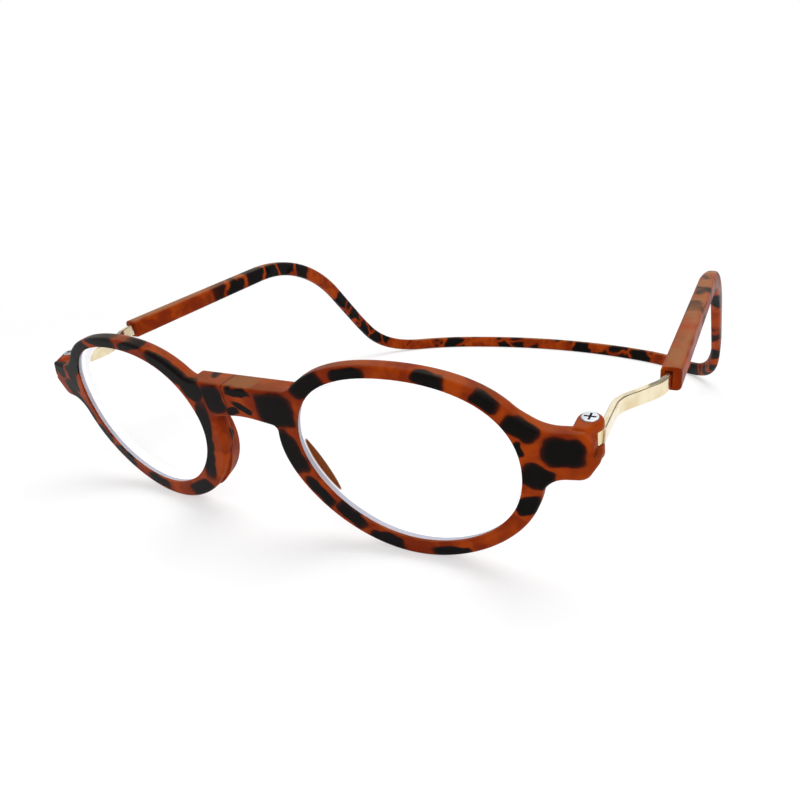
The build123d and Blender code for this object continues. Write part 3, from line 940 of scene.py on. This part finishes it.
@dataclass(frozen=True)
class ScrewFinish:
    """Bright screw metal with painted shade in the cross recess."""

    name: str = "screw_chrome"
    bright: Colour = linear(160, 163, 168)
    # Painted shade for the cross recess.
    recess_shade: Colour = linear(36, 38, 42)
    recess_rise: Span = (7.48 * MM, 7.56 * MM)
    drawn: Cloud = Cloud(0.3 * MM)
    drawn_roughness: float = 0.08
    drawn_height: float = 0.004 * MM
    drawn_strength: float = 0.25
    roughness: float = 0.16
    recess_roughness: float = 0.3

    def make(self) -> bpy.types.Material:
        """Build the material.

        Returns:
            The material.
        """
        bench = Bench(self.name)
        drawn = bench.noise(self.drawn)
        # Painted shade: the metal below the head's face, in the cross recess, is darkened and made
        # rougher.
        low = 1 - LEAN.height(bench).step(*self.recess_rise)
        polish = self.roughness + self.drawn_roughness * drawn
        return bench.surface({
            "Base Color": bench.mix(low, self.bright, self.recess_shade),
            "Metallic": 1.0,
            "Roughness": polish + self.recess_roughness * low,
            "Normal": bench.bump(drawn, self.drawn_height, self.drawn_strength),
        })


@dataclass(frozen=True)
class TableFinish:
    """White table: almost flat white to the eye, with the object's soft shadows."""

    name: str = "white_table"
    paper: Colour = (0.95, 0.95, 0.95)
    near_lift: float = 0.5
    near_reach: float = 0.14
    far_reach: float = 0.42

    def make(self) -> bpy.types.Material:
        """Build the material.

        Returns:
            The material.
        """
        bench = Bench(self.name)
        away = Signal(bench, bench.vector("LENGTH", {0: bench.place()}).outputs["Value"])
        far = away.step(self.near_reach, self.far_reach)
        lift = self.near_lift + (1 - self.near_lift) * far
        paper = bench.node("ShaderNodeBsdfDiffuse", {}, {"Color": self.paper})
        glow = bench.node("ShaderNodeEmission", {}, {"Color": WHITE, "Strength": 1.0})
        return bench.blended(bench.seen() * lift, paper, glow)


def dress(node: str, material: bpy.types.Material) -> None:
    """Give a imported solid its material.

    Args:
        node: The solid's name.
        material: What it is made of.
    """
    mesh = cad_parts[node].data
    mesh.materials.clear()
    mesh.materials.append(material)
    LOG.info("%s: %s", node, material.name)


def deselect() -> None:
    """Leave edit mode and deselect everything."""
    if bpy.context.object and bpy.context.object.mode != "OBJECT":
        bpy.ops.object.mode_set(mode="OBJECT")
    bpy.ops.object.select_all(action="DESELECT")


def selected_copy(node: str, name: str) -> bpy.types.Object:
    """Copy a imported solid, with a mesh of its own, and select the copy.

    Args:
        node: The solid's name.
        name: The copy's name.

    Returns:
        The copy.
    """
    copy = bpy.data.objects.new(name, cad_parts[node].data.copy())
    bpy.context.scene.collection.objects.link(copy)
    copy.select_set(True)
    return copy


@dataclass
class Front:
    """The tortoise front in two halves, with its lenses."""

    patches: tuple[Patch, ...] = FRONT_PATCHES
    amber_share: float = 0.62
    lens_across: float = 32.1 * MM
    lens_back: float = 2.7 * MM
    back_facing: float = 0.5
    bevel_share_across: float = 0.915
    bevel_share_up: float = 0.92
    bevel_shift: float = 9.0 * MM
    bevel_lift: float = 4.5 * MM
    bevel_thickness: float = 0.05 * MM
    weld: float = 0.002 * MM

    def keep_back_outline(self, mesh: bpy.types.Mesh) -> None:
        """Leave only the closed line of edges round a lens's back face.

        Args:
            mesh: The lens's mesh, in edit mode and all selected.
        """
        bpy.ops.mesh.remove_doubles(threshold=self.weld)
        backwards = Vector((0, LEAN.cosine, LEAN.sine))
        shape = bmesh.from_edit_mesh(mesh)
        for face in shape.faces:
            face.select = face.normal.dot(backwards) < self.back_facing
        shape.select_flush(True)
        bmesh.update_edit_mesh(mesh)
        bpy.ops.mesh.delete(type="FACE")
        bpy.ops.mesh.select_all(action="SELECT")
        bpy.ops.mesh.region_to_loop()
        shape = bmesh.from_edit_mesh(mesh)
        outline = [edge for edge in shape.edges if edge.select]
        bmesh.ops.delete(shape, geom=list(shape.faces), context="FACES_ONLY")
        inner = [edge for edge in shape.edges if edge not in outline]
        bmesh.ops.delete(shape, geom=inner, context="EDGES")
        bmesh.update_edit_mesh(mesh)

    def widen(self, side: Side) -> None:
        """Draw the outline inwards into a ring, wider low down and on the nearer side.

        Args:
            side: The wearer's side.
        """
        bpy.ops.mesh.select_all(action="SELECT")
        bpy.ops.mesh.extrude_edges_move()
        across = self.lens_across if side is Side.LEFT else -self.lens_across
        share = (self.bevel_share_across, self.bevel_share_up, self.bevel_share_up)
        middle = LEAN.point(across + self.bevel_shift, self.bevel_lift, self.lens_back)
        bpy.ops.transform.resize(value=share, center_override=middle)
        bpy.ops.mesh.select_all(action="SELECT")
        bpy.ops.mesh.normals_make_consistent(inside=False)

    def bevel(self, side: Side, material: bpy.types.Material) -> None:
        """Make the frosted bevel ground round a lens's back.

        Args:
            side: The wearer's side.
            material: The bevel's finish.
        """
        deselect()
        ring = selected_copy(f"lens_{side.value}", f"lens_bevel_{side.value}")
        bpy.context.view_layer.objects.active = ring
        bpy.ops.object.mode_set(mode="EDIT")
        bpy.ops.mesh.select_all(action="SELECT")
        self.keep_back_outline(ring.data)
        self.widen(side)
        bpy.ops.object.mode_set(mode="OBJECT")
        wall = ring.modifiers.new("thickness", "SOLIDIFY")
        wall.thickness = self.bevel_thickness
        wall.offset = 0.0
        bpy.ops.object.modifier_apply(modifier=wall.name)
        ring.data.materials.clear()
        ring.data.materials.append(material)
        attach(ring, f"rim_{side.value}")
        LOG.info("%s: %d faces", ring.name, len(ring.data.polygons))

    def build(self) -> None:
        """Dress both rims and both lenses."""
        finish = TortoiseFinish(
            "tortoise_front", amber_share=self.amber_share, patches=self.patches)
        tortoise = finish.make()
        lens = LensFinish().make()
        bevel = BevelFinish().make()
        for side in Side:
            dress(f"rim_{side.value}", tortoise)
            dress(f"lens_{side.value}", lens)
            self.bevel(side, bevel)


@dataclass
class Hinges:
    """Screws, inserts, arms, springs and the magnets of the bridge."""

    # The gold has painted dark reflections at its corners and in streaks along its top.
    gold: MetalFinish = MetalFinish(
        "pale_gold", linear(240, 228, 198), linear(222, 204, 164), roughness=0.14, edge=0.8)
    screw: ScrewFinish = ScrewFinish()
    steel: MetalFinish = MetalFinish(
        "plain_steel", linear(180, 182, 186), linear(150, 152, 156), roughness=0.32)
    plate: MetalFinish = MetalFinish(
        "magnet_plate", linear(205, 206, 210), linear(180, 181, 186), roughness=0.22)

    def build(self) -> None:
        """Dress every metal piece."""
        made = {
            "arm": self.gold.make(),
            "hinge_screw": self.screw.make(),
            "bridge_magnet": self.plate.make(),
        }
        steel = self.steel.make()
        for name in ("magnet_cup", "screw_insert", "detent_spring", "spring_rivet"):
            made[name] = steel
        for name, material in made.items():
            for side in Side:
                dress(f"{name}_{side.value}", material)


@dataclass
class NeckBand:
    """Temples and neck band, one long moulding."""

    bend_half: float = 45 * MM
    cut_pitch: float = 5 * MM
    weld: float = 0.002 * MM
    cut_weld: float = 0.0002 * MM
    smooth_angle: float = math.radians(32)
    finish: TortoiseFinish = TortoiseFinish(
        "tortoise_band",
        cell=7.6 * MM,
        amber_share=0.42,
        shift=(13 * MM, 20 * MM, 5 * MM),
        plain_before=-34 * MM,
        # Painted highlight on the band's top faces and painted side reflection on its outer faces.
        painted_highlight=linear(140, 88, 50),
        highlight_share=1.3,
        sheen_share=0.5,
    )

    def joined(self) -> bpy.types.Object:
        """Copy both halves into one object.

        Returns:
            The new object.
        """
        deselect()
        copies = [selected_copy(f"band_{side.value}", "neck_band") for side in Side]
        bpy.context.view_layer.objects.active = copies[0]
        bpy.ops.object.join()
        return bpy.context.object

    def weld_middle(self, skin: bpy.types.Object) -> None:
        """Take out the two end walls at the middle and weld what met there.

        Args:
            skin: The joined band, which is left in edit mode.
        """
        bpy.ops.object.mode_set(mode="EDIT")
        bpy.ops.mesh.select_all(action="DESELECT")
        shape = bmesh.from_edit_mesh(skin.data)
        for face in shape.faces:
            face.select = all(abs(corner.co.x) < self.weld for corner in face.verts)
        shape.select_flush(True)
        bmesh.update_edit_mesh(skin.data)
        bpy.ops.mesh.delete(type="ONLY_FACE")
        bpy.ops.mesh.select_all(action="SELECT")
        bpy.ops.mesh.remove_doubles(threshold=self.weld)

    def cut(self) -> None:
        """Cut the neck across, so that it can bend smoothly, and leave edit mode."""
        count = round(self.bend_half / self.cut_pitch)
        for step in range(-count, count + 1):
            place = (step * self.cut_pitch, 0, 0)
            bpy.ops.mesh.select_all(action="SELECT")
            bpy.ops.mesh.bisect(plane_co=place, plane_no=ACROSS, threshold=self.cut_weld)
        bpy.ops.object.mode_set(mode="OBJECT")

    def build(self) -> None:
        """Join the two halves into one skin, cut across at the neck."""
        tortoise = self.finish.make()
        for side in Side:
            dress(f"band_{side.value}", tortoise)
        skin = self.joined()
        self.weld_middle(skin)
        self.cut()
        bpy.ops.object.shade_smooth_by_angle(angle=self.smooth_angle)
        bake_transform(skin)
        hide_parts("band_left", "band_right")
        LOG.info("neck_band: %d faces", len(skin.data.polygons))


@dataclass(frozen=True)
class Lamp:
    """One soft lamp with a square panel, its power in watts."""

    name: str
    place: Place
    aim: Place
    size: float
    power: float

    def hang(self) -> None:
        """Hang the lamp and turn it to what it points at."""
        data = bpy.data.lights.new(self.name, "AREA")
        data.shape = "SQUARE"
        data.size = self.size
        data.energy = self.power
        lamp = bpy.data.objects.new(self.name, data)
        lamp.location = self.place
        towards = Vector(self.aim) - Vector(self.place)
        lamp.rotation_euler = towards.to_track_quat("-Z", "Y").to_euler()
        bpy.context.scene.collection.objects.link(lamp)


@dataclass
class Studio:
    """Camera, lamps, sky and table."""

    eye: Place = (83.37 * MM, -178.34 * MM, 59.63 * MM)
    azimuth: float = 27.70
    elevation: float = 16.39
    roll: float = -1.17
    lens: float = 28.73
    sensor: float = 36.0
    shift: Span = (-0.04535, 0.00226)
    nearest_seen: float = 2 * MM
    sky_light: float = 0.55
    table_size: float = 6.0
    lamps: tuple[Lamp, ...] = (
        Lamp("top_panel", place=(0.05, 0.1, 0.7), aim=(0, 0, 0), size=0.6, power=3.2),
        Lamp("front_panel", place=(0.5, -0.6, 0.45), aim=(0, -0.05, 0), size=0.5, power=2.4),
    )

    def camera(self) -> None:
        """Place the camera where the photograph was taken from."""
        turn, rise, lean = (
            math.radians(angle) for angle in (self.azimuth, self.elevation, self.roll)
        )
        level = math.cos(rise)
        back = Vector((math.sin(turn) * level, -math.cos(turn) * level, math.sin(rise)))
        right = Vector((math.cos(turn), math.sin(turn), 0.0))
        above = back.cross(right)
        tilted_right = right * math.cos(lean) + above * math.sin(lean)
        tilted_above = above * math.cos(lean) - right * math.sin(lean)
        data = bpy.data.cameras.new("photo_camera")
        data.lens = self.lens
        data.sensor_width = self.sensor
        data.shift_x, data.shift_y = self.shift
        data.clip_start = self.nearest_seen
        camera = bpy.data.objects.new("photo_camera", data)
        axes = Matrix((tilted_right, tilted_above, back)).transposed().to_4x4()
        camera.matrix_world = Matrix.Translation(self.eye) @ axes
        bpy.context.scene.collection.objects.link(camera)
        bpy.context.scene.camera = camera

    def sky(self) -> None:
        """Make the world white to the eye and an even pale light on the object."""
        bench = Bench("pale_sky", world=True)
        light = bench.node("ShaderNodeBackground", {}, {"Color": WHITE, "Strength": self.sky_light})
        white = bench.node("ShaderNodeBackground", {}, {"Color": WHITE, "Strength": 1.0})
        world = bench.blended(bench.seen(), light, white, "ShaderNodeOutputWorld")
        bpy.context.scene.world = world

    def table(self) -> None:
        """Lay the white table under the glasses."""
        deselect()
        bpy.ops.mesh.primitive_plane_add(size=self.table_size, location=(0, 0, 0))
        table = bpy.context.object
        table.name = "table_top"
        table.data.materials.append(TableFinish().make())

    def build(self) -> None:
        """Set up everything round the glasses."""
        self.camera()
        for lamp in self.lamps:
            lamp.hang()
        self.sky()
        self.table()
        bpy.context.scene.view_settings.view_transform = "Standard"


def main() -> None:
    """Build the studio and the glasses, in order."""
    Studio().build()
    for part in (Front(), Hinges(), NeckBand()):
        part.build()
        LOG.info("%s is built", type(part).__name__)


if __name__ == "__main__":
    main()
